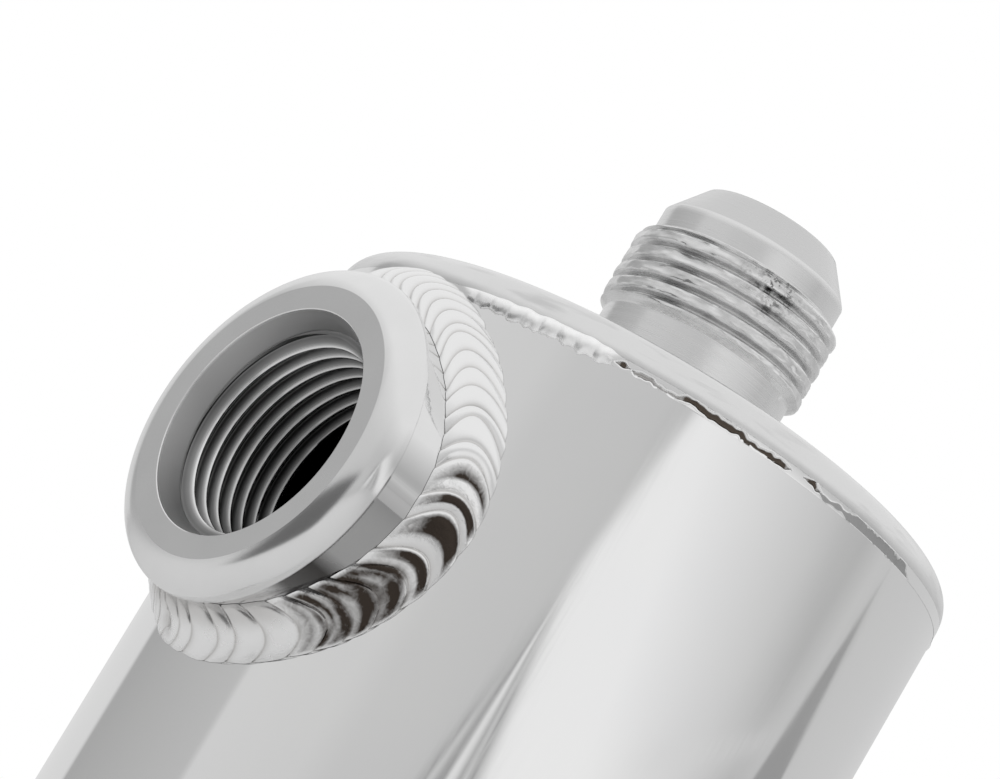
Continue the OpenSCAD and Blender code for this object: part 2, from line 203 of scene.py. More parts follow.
def combine(tree, operation, first, second=0.0):
    """The result of one sum on a value or two."""
    return add_node(tree, "ShaderNodeMath", {0: first, 1: second}, operation=operation).outputs[0]


def product(tree, first, second):
    """Two values multiplied."""
    return combine(tree, "MULTIPLY", first, second)


def inverse(tree, share):
    """What a share leaves of the whole."""
    return combine(tree, "SUBTRACT", 1.0, share)


def cloudy(tree, place, scale, detail, roughness, distortion=0.0):
    """Soft random clouds, finer at a higher scale."""
    return add_node(tree, "ShaderNodeTexNoise", {
        "Vector": place, "Scale": scale, "Detail": detail, "Roughness": roughness, "Distortion": distortion,
    }).outputs["Fac"]


def stretched(tree, place, factors):
    """Places stretched along X, Y and Z."""
    inputs = {0: place, 1: factors}
    return add_node(tree, "ShaderNodeVectorMath", inputs, operation="MULTIPLY").outputs["Vector"]


def part_of(tree, place, axis):
    """One of the three measures of a place."""
    return add_node(tree, "ShaderNodeSeparateXYZ", {0: place}).outputs[axis]


def new_finish(name, color, roughness, metallic=1.0):
    """A bare material: its tree, its shader and its object coordinates."""
    material = bpy.data.materials.new(name)
    material.use_nodes = True
    tree = material.node_tree
    shader = tree.nodes["Principled BSDF"]
    shader.inputs["Base Color"].default_value = opaque(color)
    shader.inputs["Roughness"].default_value = roughness
    shader.inputs["Metallic"].default_value = metallic
    place = tree.nodes.new("ShaderNodeTexCoord").outputs["Object"]
    return material, tree, shader.inputs, place


def coat(tree, shader, color, roughness):
    """Gives a finish its colour and its roughness."""
    tree.links.new(color, shader["Base Color"])
    tree.links.new(roughness, shader["Roughness"])


def raise_marks(tree, shader, height, strength, distance):
    """Lets a pattern stand up from the surface by a bump."""
    bump = add_node(tree, "ShaderNodeBump", {
        "Height": height, "Strength": strength, "Distance": distance * MM,
    })
    tree.links.new(bump.outputs["Normal"], shader["Normal"])


# The buffing wheel leaves hair lines along its path and a faint haze where it lingered.
buffing = bpy.data.node_groups.new("buffing_marks", "ShaderNodeTree")
for socket in ("Vector", "Stretch"):
    buffing.interface.new_socket(socket, in_out="INPUT", socket_type="NodeSocketVector")
for socket in ("Lines", "Haze"):
    buffing.interface.new_socket(socket, in_out="OUTPUT", socket_type="NodeSocketFloat")
source = buffing.nodes.new("NodeGroupInput").outputs
result = buffing.nodes.new("NodeGroupOutput").inputs
along_paths = stretched(buffing, source["Vector"], source["Stretch"])
lines = cloudy(buffing, along_paths, 1.0, 4.0, 0.65)
haze = cloudy(buffing, source["Vector"], 45.0, 5.0, 0.55)
buffing.links.new(lines, result["Lines"])
buffing.links.new(haze, result["Haze"])


def wheel_marks(tree, place, stretch):
    """The wheel's marks on a finish, stretched across its path."""
    inputs = {"Vector": place, "Stretch": stretch}
    return add_node(tree, "ShaderNodeGroup", inputs, node_tree=buffing).outputs


tube_finish, tree, shader, place = new_finish("buffed_tube", 0.86, 0.1)
marks = wheel_marks(tree, place, (2200, 2200, 90))
color = shade_of(tree, marks["Haze"], (0.83, 0.83, 0.84), (0.88, 0.88, 0.87))
wheel_paths = product(tree, marks["Lines"], marks["Haze"])
coat(tree, shader, color, remap(tree, wheel_paths, 0.15, 0.40, 0.04, 0.09))
raise_marks(tree, shader, marks["Lines"], 0.02, 0.015)
stand_in_for(body_tube, "body_tube", tube_finish)


# End caps: turned aluminium plates with a step that centres them in the tube. Their outer corner is
# dressed round with a file and buffed. The upper one is holed for the top fitting.
cap_low, cap_high = (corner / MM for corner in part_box("top_cap"))
cap_top = cap_high.z
corner_r = 3.9
neck_r = 12.2


def cap_outline(inner_r):
    """The upper cap's closed outline, from its inner edge outwards and back over the top."""
    corner = []
    for degree in range(0, 91, 5):
        out, up = cos(radians(degree)), sin(radians(degree))
        corner.append((can_r - corner_r * (1 - out), cap_top - corner_r * (1 - up)))
    step_r = bore_r - weld_room
    return (
        [(inner_r, cap_low.z), (step_r, cap_low.z), (step_r, seam_z), (can_r, seam_z)] + corner
        + [(r, cap_top) for r in stations(can_r - corner_r - 2, inner_r, 3)]
    )


top_cap = turn_on_lathe("dressed_top_cap", cap_outline(neck_r + weld_room))
bottom_cap = turn_on_lathe(
    "dressed_bottom_cap", [(r, seam_z + base_seam_z - z) for r, z in cap_outline(0)],
)
cap_finish, tree, shader, place = new_finish("buffed_cap", 0.88, 0.16)
marks = wheel_marks(tree, place, (900, 900, 900))
strokes = cloudy(tree, stretched(tree, place, (70, 70, 500)), 1.0, 3.0, 0.6)
smears = product(tree, remap(tree, strokes, 0.52, 0.70, 0, 0.5), remap(
    tree, part_of(tree, place, "Z"), (cap_top - 0.6) * MM, (cap_top - 0.1) * MM, 1, 0,
))
color = shade_of(tree, smears, shade_of(tree, marks["Haze"], 0.70, 0.77), 0.46)
dressed = combine(tree, "MAXIMUM", marks["Lines"], smears)
coat(tree, shader, color, remap(tree, dressed, 0.3, 0.7, 0.11, 0.24))
raise_marks(tree, shader, marks["Lines"], 0.06, 0.03)
smooth(top_cap)
smooth(bottom_cap)
stand_in_for(top_cap, "top_cap", cap_finish)
stand_in_for(bottom_cap, "bottom_cap", cap_finish)


# Seam welds: aluminium run into the bevel between the tube and each cap. Over some stretches the bead
# is left as it was laid, over others it is dressed flush, and a dark undercut shows along its edge.
def ease(x):
    """0 below 0, 1 above 1 and a smooth rise between."""
    t = min(1, max(0, x))
    return t * t * (3 - 2 * t)


def between(x, start, end, fade):
    """1 between two values and 0 outside them, with a soft edge."""
    return ease((x - start) / fade + 0.5) * ease((end - x) / fade + 0.5)


def waves(a, seed, rate):
    """Smooth uneven waves between -1 and 1 that close after a turn, finer at a higher rate."""
    a = radians(a)
    return noise.noise(Vector((rate * cos(a), rate * sin(a), seed)))


def half_turn(a):
    """An angle between -180 and 180 degrees."""
    return (a + 180) % 360 - 180


def keep_mark(piece, mark, values):
    """Keeps one value for each point of a piece under a name, for the finish to read."""
    piece.data.attributes.new(mark, "FLOAT", "POINT").data.foreach_set("value", values)


def bent_ring(name, rings, section, point_at, marks):
    """A closed ring of sections, made from a grid that is wrapped both ways, point by point, in mm.
    Each point comes with one value for each mark, which is kept for the finish to read."""
    pick()
    bpy.ops.mesh.primitive_grid_add(x_subdivisions=rings, y_subdivisions=section, size=2)
    piece = named(name)
    kept = []
    for vertex in piece.data.vertices:
        ring = round((vertex.co.x + 1) / 2 * rings) % rings
        step = round((vertex.co.y + 1) / 2 * section) % section
        point, values = point_at(ring, step)
        vertex.co = Vector(point) * MM
        kept.append(values)
    for mark, values in zip(marks, zip(*kept)):
        keep_mark(piece, mark, values)
    close_seams(piece)
    return piece


seam_rings = 1440
seam_face = stations(0, 1, 1 / 22)
bead_pitch = 2.3


def seam_weld(name, level, flip, laid_at, open_at, dull_at, seed):
    """A seam weld on the circle at a level; flip is -1 for one that is laid from below. By the angle
    from +X, laid_at is the share of bead left as laid, open_at the half width of an undercut in mm,
    and dull_at the half width of a dull patch."""
    sections = []
    for ring in range(seam_rings):
        a = ring * 360 / seam_rings
        side = half_turn(a)
        laid = laid_at(side)
        bumps = abs(sin(pi * a / 360 * (2 * pi * can_r / bead_pitch)))
        drift = waves(a, seed, 26)
        crown = 0.01 + laid * (0.16 + 0.26 * bumps ** 0.5 + 0.14 * drift)
        low = -seam_bevel - 0.05 - laid * (0.25 + 0.55 * (0.5 + waves(a, seed + 2, 40)) * bumps ** 0.5)
        high = 0.06 + 0.5 * laid * (0.7 + 0.6 * waves(a, seed + 3, 18))
        open_half = open_at(side) * (1 + 0.5 * waves(a, seed + 4, 55))
        darkness = 0.52 + 0.48 * ease((open_at(side) - 0.26) / 0.07)
        open_line = -0.62 + 0.55 * waves(a, seed + 5, 18) + 0.28 * waves(a, seed + 9, 45)
        dull_half = dull_at(side) * (1 + 0.9 * waves(a, seed + 6, 26) + 0.7 * waves(a, seed + 8, 70))
        dull_line = -0.75 + 0.6 * waves(a, seed + 7, 16)
        hidden = (0, 0, 0)
        points = [(can_r - seam_bevel + 0.10, -0.04, hidden), (can_r - 0.01, -seam_bevel + 0.06, hidden)]
        for t in seam_face:
            h = low + (high - low) * t
            groove = exp(-(((h - open_line) / open_half) ** 4)) if open_half > 0.02 else 0
            dull = exp(-(((h - dull_line) / dull_half) ** 4)) if dull_half > 0.02 else 0
            bulge = crown * sin(pi * t) ** 0.6
            r = can_r + 0.015 + bulge - 0.30 * groove - 0.04 * dull
            points.append((r, h, (laid, groove * darkness, dull)))
        points.append((can_r + 0.02, -0.04, hidden))
        sections.append(points)

    def point_at(ring, step):
        a = radians(ring * 360 / seam_rings)
        r, h, marks = sections[ring][step]
        return (r * cos(a), r * sin(a), level + flip * h), marks

    return bent_ring(name, seam_rings, len(sections[0]), point_at, ("laid", "undercut", "dull"))


def top_laid(a):
    """Stretches of the upper seam's bead that were left as laid."""
    front = between(a, -79, -51, 3) * (0.45 + 0.55 * ease((a + 77) / 12))
    return max(front, between(a, 52, 84, 5), between(a, 131, 168, 6))


def top_open(a):
    """Half width of the undercut in the upper seam, with a pit at each end."""
    width = 0.26 * between(a, -46.5, -37, 1.5) + 0.34 * between(a, -37, -17.5, 2)
    width += 0.33 * between(a, -49.4, -47.8, 1.4) + 0.30 * between(a, -13.8, -10.8, 1.6)
    return width + 0.08 * between(a, 98, 121, 4)


def top_dull(a):
    """Half width of the dull patches in the upper seam."""
    return 0.26 * between(a, -10, -4, 4) + 0.85 * between(a, -3, 14, 5) + 0.4 * between(a, 88, 95, 4)


def base_laid(a):
    """Stretches of the lower seam's bead that were left as laid."""
    return ease(0.4 + 2.4 * waves(a, 41, 3))


top_seam = seam_weld("top_seam_bead", seam_z, 1, top_laid, top_open, top_dull, seed=3)
base_seam = seam_weld(
    "bottom_seam_bead", base_seam_z, -1, base_laid,
    lambda a: 0.18 * ease(3 * waves(a, 47, 4)), lambda a: 0.4 * ease(4 * waves(a, 53, 5) - 0.5), seed=17,
)


def mark_of(tree, name):
    """The values that a piece's points keep under a name."""
    return add_node(tree, "ShaderNodeAttribute", attribute_name=name).outputs["Fac"]


seam_finish, tree, shader, place = new_finish("seam_bead", 0.87, 0.12)
laid = mark_of(tree, "laid")
undercut = mark_of(tree, "undercut")
dull = mark_of(tree, "dull")
grain = cloudy(tree, place, 800.0, 4.0, 0.6)
color = shade_of(tree, laid, 0.87, 0.98)
color = shade_of(tree, remap(tree, dull, 0.3, 0.6), color, 0.40)
color = shade_of(tree, remap(tree, undercut, 0.25, 0.7), color, (0.100, 0.082, 0.068))
worn = combine(tree, "MAXIMUM", combine(tree, "MAXIMUM", laid, dull), undercut)
rough_spots = product(tree, worn, grain)
coat(tree, shader, color, remap(tree, rough_spots, 0, 0.7, 0.10, 0.50))
raise_marks(tree, shader, rough_spots, 0.35, 0.10)
smooth(top_seam, 60)
smooth(base_seam, 60)
stand_in_for(top_seam, "top_seam_weld", seam_finish)
stand_in_for(base_seam, "bottom_seam_weld", seam_finish)


# Top fitting: a male flare fitting turned from aluminium bar, with a plain neck, a thread, a smooth
# collar and a cone that seals in the hose end. Its thread's crests are worn flat from use.
def between_points(start, end, shares):
    """Points of an outline at shares of the way from one point to another."""
    (start_r, start_z), (end_r, end_z) = start, end
    return [(start_r + (end_r - start_r) * t, start_z + (end_z - start_z) * t) for t in shares]


def threaded_wall(name, start, end, pitch, shape, radius_at, crest_at=None):
    """A right-handed thread's wall round Z, in rows that climb with the helix, in mm. shape lists
    (share of the pitch, share of the depth) from a crest to the root. The next flank mirrors it."""
    shape = shape + [(1 - share, depth) for share, depth in reversed(shape[1:-1])]
    crest_at = start if crest_at is None else crest_at
    shares = [share for share, depth in shape] + [1]
    depths = [depth for share, depth in shape] + [shape[0][1]]
    per_turn = len(shape)
    below = crest_at + pitch * (floor((start - crest_at) / pitch) - 1)
    turns = ceil((end - below) / pitch)
    rows = turns * per_turn
    pick()
    bpy.ops.mesh.primitive_grid_add(x_subdivisions=steps_round, y_subdivisions=rows, size=2)
    piece = named(name)
    for vertex in piece.data.vertices:
        turned = round((vertex.co.x + 1) / 2 * steps_round) / steps_round
        row = round((vertex.co.y + 1) / 2 * rows)
        z = below + pitch * (row // per_turn + shares[row % per_turn] + turned)
        z = min(end, max(start, z))
        phase = ((z - crest_at) / pitch - turned) % 1
        depth = 0
        for low, high, from_depth, to_depth in zip(shares, shares[1:], depths, depths[1:]):
            if low <= phase <= high:
                depth = from_depth + (to_depth - from_depth) * (phase - low) / (high - low)
        angle = 2 * pi * turned
        r = radius_at(depth, z, angle)
        vertex.co = (r * cos(angle) * MM, r * sin(angle) * MM, z * MM)
    return piece


def fit_thread(piece, wall, start, end, wall_r):
    """Opens the plain wall of a turned piece between two stations and joins the threaded wall in."""
    pick(piece)
    bpy.ops.object.mode_set(mode="EDIT")
    bpy.ops.mesh.select_mode(type="FACE")
    bpy.ops.mesh.select_all(action="DESELECT")
    bpy.ops.object.mode_set(mode="OBJECT")
    for face in piece.data.polygons:
        middle = face.center / MM
        r = hypot(middle.x, middle.y)
        face.select = start < middle.z < end and abs(r - wall_r) < 0.05 and abs(face.normal.z) < 0.1
    bpy.ops.object.mode_set(mode="EDIT")
    bpy.ops.mesh.delete(type="ONLY_FACE")
    bpy.ops.mesh.select_mode(type="VERT")
    bpy.ops.object.mode_set(mode="OBJECT")
    wall.select_set(True)
    bpy.ops.object.join()
    close_seams(piece)


fitting_low, fitting_high = (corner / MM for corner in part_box("top_fitting"))
neck_length = 10
thread_length = 10.6
collar_length = 3.1
thread_z = cap_top + neck_length
collar_z = thread_z + thread_length
cone_z = collar_z + collar_length
lip_z = fitting_high.z
thread_r = 13.4
root_r = 12.2
collar_r = 11.9
lip_r = 8.65
fitting_bore_r = 7.75
bore_edge = 0.25
socket_r = 9.675
socket_top = fitting_low.z + 4
thread_end_bevel = 0.9
coarse_pitch = 25.4 / 12
worn_crest = [
    (0, 0), (0.12, 0.005), (0.20, 0.04), (0.26, 0.12), (0.32, 0.30), (0.38, 0.56), (0.43, 0.84),
    (0.47, 0.98), (0.5, 1),
]


def worn_thread_radius(depth, z, angle):
    """Radius of the worn thread, which starts and ends in the plain metal."""
    around = Vector((3 * cos(angle), 3 * sin(angle), z * 0.8))
    wear = 0.16 + 0.16 * noise.noise(around) + 0.08 * noise.noise(around * 4)
    r = min(thread_r - (thread_r - root_r) * depth, thread_r - max(0.02, wear))
    limit = root_r + min(z - thread_z, collar_z - z) * (thread_r - root_r) / thread_end_bevel
    return max(root_r, min(r, limit))


top_fitting = turn_on_lathe("flare_fitting", (
    [(socket_r, fitting_low.z), (root_r, fitting_low.z)]
    + [(root_r, z) for z in stations(fitting_low.z + 1, thread_z, 1.5)]
    + [(root_r, collar_z), (collar_r + 0.05, collar_z), (collar_r, collar_z + 0.06)]
    + [(collar_r, z) for z in stations(collar_z + 0.2, cone_z - 0.12, 0.7)]
    + [(collar_r - 0.05, cone_z), (collar_r - 0.17, cone_z + 0.16)]
    + between_points(
        (collar_r - 0.17, cone_z + 0.16), (lip_r + 0.1, lip_z - 0.13), stations(0.1, 1, 0.15),
    )
    + [(lip_r - 0.1, lip_z), (fitting_bore_r + bore_edge, lip_z), (fitting_bore_r, lip_z - bore_edge)]
    + [(fitting_bore_r, z) for z in stations(lip_z - 2, socket_top, 3)]
    + [(socket_r, socket_top)]
))
fitting_thread = threaded_wall(
    "fitting_thread", thread_z, collar_z, coarse_pitch, worn_crest, worn_thread_radius,
    crest_at=thread_z + thread_end_bevel,
)
fit_thread(top_fitting, fitting_thread, thread_z, collar_z, root_r)
smooth(top_fitting, 40)

fitting_finish, tree, shader, place = new_finish("turned_worn_metal", 0.78, 0.2)
turned_lines = wheel_marks(tree, place, (25, 25, 5000))
height = part_of(tree, place, "Z")
threaded = product(
    tree, remap(tree, height, (thread_z - 0.3) * MM, (thread_z + 0.5) * MM),
    remap(tree, height, (collar_z - 0.3) * MM, (collar_z + 0.1) * MM, 1, 0),
)
knock = (11.5 * MM, -5.1 * MM, (collar_z - 1.6) * MM)
off_knock = add_node(
    tree, "ShaderNodeVectorMath", {0: place, 1: knock}, operation="DISTANCE",
).outputs["Value"]
near_collar = product(tree, threaded, remap(tree, off_knock, 1 * MM, 4.8 * MM, 1, 0))
rubbed = cloudy(tree, place, 150.0, 5.0, 0.6)
specks = cloudy(tree, place, 1100.0, 5.0, 0.7)
soiled = product(tree, threaded, remap(tree, rubbed, 0.44, 0.64, 0, 0.42))
color = shade_of(tree, turned_lines["Haze"], 0.74, 0.84)
color = shade_of(tree, soiled, color, 0.46)
on_cone = remap(tree, height, (cone_z - 0.1) * MM, (cone_z + 0.1) * MM)
color = shade_of(tree, on_cone, color, 0.62)
pitted = product(tree, near_collar, product(
    tree, remap(tree, specks, 0.50, 0.57), remap(tree, rubbed, 0.38, 0.52),
))
color = shade_of(tree, pitted, color, 0.09)
dulled = combine(tree, "MAXIMUM", turned_lines["Lines"], soiled)
coat(tree, shader, color, remap(tree, dulled, 0.3, 0.75, 0.14, 0.34))
raise_marks(tree, shader, turned_lines["Lines"], 0.05, 0.03)
stand_in_for(top_fitting, "top_fitting", fitting_finish)


# Weld round the top fitting: a bright rippled fillet laid where the neck comes out of the cap.
# Each ripple is a small scale of metal that set while the next one was laid over its edge.
ripple_pitch = 2.1
ripple_shares = [0, 0.08, 0.19, 0.32, 0.46, 0.60, 0.72, 0.82, 0.90, 0.96]
bead_face = stations(0, 1, 1 / 14)


def scale_height(share):
    """Height of one ripple over its length: a long round rise and a quick fall onto the one before."""
    return sin(pi * (1 - share) ** 0.66) ** 0.8


def fillet_bead(name, neck_r, wall_r, wall_legs, neck_legs, seed, bow=1.0, crater=None, churned=None,
                burnt=None, length_at=lambda side: 1):
    """A rippled fillet weld round a neck along Z that stands on a round wall, or on a flat one at 0.
    Each pair of legs holds the one at the sides and the one above and below, all in mm. The weld was
    run backwards round the neck, so that each ripple bows forwards and ends in the crater's angle.
    Between the two churned angles the metal boiled and set in coarse wrinkles, and between the two
    burnt ones the hollow side of each scale is scorched. length_at gives the length of a scale by its
    angle, as a share of the ripples' pitch."""
    dice = random.Random(seed)
    gap = 0.04
    laid = [0]
    for degree in range(360):
        length = ripple_pitch * length_at(half_turn(degree))
        laid.append(laid[-1] + radians(1) * (neck_r + sum(wall_legs) / 4) / length)
    ripples = round(laid[-1])
    starts = []
    for i in range(ripples):
        wanted = (i + dice.uniform(-0.16, 0.16)) * laid[-1] / ripples
        degree = next(d for d in range(360) if laid[d + 1] >= wanted)
        starts.append(radians(degree + (wanted - laid[degree]) / (laid[degree + 1] - laid[degree])))
    starts.append(starts[0] + 2 * pi)
    heights = [dice.uniform(0.55, 1.15) for i in range(ripples)]
    bows = [bow * dice.uniform(0.75, 1.25) for i in range(ripples)]
    toes = [dice.uniform(-0.14, 0.14) for i in range(ripples)]
    soot = [dice.uniform(0.88, 1.0) for i in range(ripples)]
    per_ripple = len(ripple_shares)
    section = 2 + len(bead_face)

    def wall_at(x):
        return sqrt(wall_r * wall_r - x * x) if wall_r else 0

    def uneven(r, a, depth, rate):
        return noise.noise(Vector((r * cos(a), r * sin(a), depth)) * rate)

    def point_at(ring, step):
        i, share = ring // per_ripple, ripple_shares[ring % per_ripple]
        a = starts[i] + (starts[i + 1] - starts[i]) * share
        fade = share * share * (3 - 2 * share)
        after = (i + 1) % ripples
        height = scale_height(share)
        bowed = bows[i] + (bows[after] - bows[i]) * fade
        toe_out = toes[i] + (toes[after] - toes[i]) * fade + 0.16 * (height - 0.5)
        turned = sin(a) ** 2
        wall_leg = wall_legs[0] + (wall_legs[1] - wall_legs[0]) * turned
        neck_leg = neck_legs[0] + (neck_legs[1] - neck_legs[0]) * turned
        root = neck_r + gap
        s = 0 if step < 2 else bead_face[step - 2]
        side = half_turn(degrees(a))
        boiled = between(side, churned[0], churned[1], 14) if churned else 0
        scorched = between(side, burnt[0], burnt[1], 8) if burnt else 0
        soft = between(side, churned[0] - 65, churned[0] - 2, 10) if churned else 0
        heat = max(boiled, scorched) - soft
        calm = 1 - max(boiled, between(side, burnt[0] - 30, burnt[1] + 6, 14)) if burnt else 0
        if step < 2:
            r = root + (wall_leg - gap) * 0.5 * step
            return (r * cos(a), r * sin(a), wall_at(r * cos(a)) + gap), (0, heat, 0)
        arch = 4 * s * (1 - s)
        trail = a + arch * bowed * ripple_pitch / (neck_r + wall_leg / 2)
        toe_r = neck_r + wall_leg + toe_out * (1 - s)
        toe_d = wall_at(toe_r * cos(trail)) + gap
        neck_d = wall_at(root * cos(trail)) + neck_leg + toe_out * s
        slope = hypot(neck_d - toe_d, toe_r - root)
        lumps = 0.16 * uneven(toe_r, a, s * 3 + seed, 0.45)
        ripple = 0.30 + 0.10 * max(boiled, scorched) - 0.12 * calm
        ripple *= 1 - 0.7 * soft * ease((s - 0.5) / 0.3)
        wrinkle = 0.10 * boiled * uneven(toe_r, a, s * 4, 1.3)
        lift = 0.85 + ripple * heights[i] * (height - 0.5) + lumps + wrinkle
        pit = 0
        if crater:
            along = half_turn(degrees(trail) - crater)
            far = hypot(radians(along) * (neck_r + 3), (s - 0.45) * 5)
            pit = exp(-((far / 1.1) ** 2)) * (0.8 + 0.2 * cos(far * 9))
        bulge = arch ** 0.85 * (lift - 0.75 * pit)
        # Painted shade: darker in the low parts between ripples, in the crater, and on one side next to the
        # neck
        valley = max((1 - height) ** 3, pit, 0.8 * soft * ease((s - 0.45) / 0.4))
        patch = 0
        if burnt:
            ragged = ease(0.75 + uneven(toe_r, a, s * 6, 0.5))
            patch = between(side, burnt[0] - 17, burnt[0] - 1, 5) * ragged
            streak = ease(0.5 + 1.5 * noise.noise(Vector((26 * a, s * 1.6, seed + 7))))
            patch = max(patch * (0.64 + 0.28 * streak), boiled * (0.38 + 0.48 * streak)) * ease(arch * 3)
        crescent = between(share, 0.36, 0.90, 0.07) * ease(arch * 2.2) * soot[i]
        crescent *= 0.50 + 0.50 * ease((0.84 - s) / 0.20)
        r = toe_r + (root - toe_r) * s + bulge * (neck_d - toe_d) / slope
        d = toe_d + (neck_d - toe_d) * s + bulge * (toe_r - root) / slope
        marks = (valley, heat, max(scorched * crescent, patch))
        return (r * cos(trail), r * sin(trail), d), marks

    return bent_ring(name, ripples * per_ripple, section, point_at, ("valley", "heated", "burnt"))


def carry(piece, place_of):
    """Moves each point of a piece from where it was turned to where it belongs, in mm."""
    for vertex in piece.data.vertices:
        vertex.co = Vector(place_of(*(vertex.co / MM))) * MM


bead_finish, tree, shader, place = new_finish("bright_bead", 0.90, 0.1)
# Painted shade in the bead's hollows, its crater and next to the neck
painted_valley_shade = mark_of(tree, "valley")
heated = mark_of(tree, "heated")
frost = cloudy(tree, place, 260.0, 4.0, 0.55)
wrinkles = cloudy(tree, place, 900.0, 4.0, 0.6, 1.5)
color = shade_of(tree, painted_valley_shade, 0.86, (0.58, 0.57, 0.56))
burnt = mark_of(tree, "burnt")
soot_edge = combine(tree, "ADD", burnt, remap(tree, wrinkles, 0.3, 0.7, -0.09, 0.09))
burnt = product(tree, remap(tree, soot_edge, 0.12, 0.78), remap(tree, burnt, 0.05, 0.2))
color = shade_of(tree, burnt, color, (0.050, 0.040, 0.033))
gloss = product(tree, remap(tree, heated, -1, 1, 0.25, 0.08), remap(tree, frost, 0.35, 0.65, 0.8, 1.2))
coat(tree, shader, color, combine(tree, "MAXIMUM", gloss, product(tree, burnt, 0.26)))
coarse = product(tree, wrinkles, remap(tree, heated, 0, 1, 0.15, 1))
raise_marks(tree, shader, coarse, 0.30, 0.12)


def lay_bead(bead, node, place_of):
    """Sets a finished bead in its place and lets it stand in for its solid."""
    carry(bead, place_of)
    smooth(bead, 75)
    stand_in_for(bead, node, bead_finish)


fitting_weld = fillet_bead("fitting_bead", neck_r, 0, (3.4, 3.4), (3.4, 3.4), seed=11, bow=0.8)
lay_bead(fitting_weld, "top_fitting_weld", lambda x, y, z: (x, y, z + cap_top))


# Side bung: a female port turned from aluminium bar, with a flat face, a rounded edge, a seal chamfer
# and a clean cut thread. It is passed through the tube's wall and welded from outside.
def towards_side(height):
    """Turns a piece that was made round Z so that its +Z points out of the side, at a height."""
    return lambda x, y, z: (x, -z, y + height)


bung_proud = 8.8
bung_length = 18
bung_face = can_r + bung_proud
bung_inner = bung_face - bung_length
flange_r = 21.1
flat_r = 17.6
edge_depth = 2.9
rim_width = 0.5
rim_back = bung_face - edge_depth - rim_width
mouth_r = 14.55
seat_r = 13.6
seat_depth = 3
female_crest_r = 12.35
female_root_r = 13.5
female_end = bung_face - seat_depth
cut_crest = [
    (0, 0), (0.045, 0), (0.07, 0.03), (0.10, 0.11), (0.26, 0.5), (0.42, 0.92), (0.46, 0.99), (0.5, 1),
]
break_angle = 66
innermost = cos(radians(break_angle))
round_edge = []
for degree in range(0, break_angle + 1, 3):
    over = (cos(radians(degree)) - innermost) / (1 - innermost)
    up = sin(radians(degree)) / sin(radians(break_angle))
    round_edge.append((flat_r + (flange_r - flat_r) * over, bung_face - edge_depth * (1 - up)))


def cut_in_hole(crest_r, root_r, start, end, end_slope=1):
    """The radius of a thread that is cut in a hole and runs out in a bevel at both ends."""
    def radius_at(depth, z, angle):
        r = crest_r + (root_r - crest_r) * depth
        return max(r, root_r - min(z - start, (end - z) * end_slope))

    return radius_at


side_bung = turn_on_lathe("threaded_bung", (
    [(female_root_r, bung_inner), (bung_body_r, bung_inner)]
    + [(bung_body_r, z) for z in stations(bung_inner + 2, rim_back - 0.9, 2)]
    + [(flange_r, rim_back)] + round_edge
    + [(r, bung_face) for r in stations(flat_r - 0.5, mouth_r + 0.1, 0.8)]
    + between_points((mouth_r, bung_face - 0.08), (seat_r, female_end), (0, 0.34, 0.67, 1))
    + [(female_root_r, female_end)]
))
bung_thread = threaded_wall(
    "bung_thread", bung_inner, female_end, coarse_pitch, cut_crest,
    cut_in_hole(female_crest_r, female_root_r, bung_inner, female_end, 2),
)
fit_thread(side_bung, bung_thread, bung_inner, female_end, female_root_r)
carry(side_bung, towards_side(bung_z))
close_seams(side_bung)
smooth(side_bung, 11)


def grey_ramp(tree, value, stops, unit=1):
    """A grey by a value, from a list of (value in units, grey)."""
    first, last = stops[0][0], stops[-1][0]
    ramp = tree.nodes.new("ShaderNodeValToRGB")
    tree.links.new(remap(tree, value, first * unit, last * unit), ramp.inputs[0])
    points = ramp.color_ramp.elements
    while len(points) < len(stops):
        points.new(0.5)
    for point, (at, grey) in zip(points, stops):
        point.position = (at - first) / (last - first)
    for point, (at, grey) in zip(points, stops):
        point.color = opaque(float(grey))
    return ramp.outputs[0]


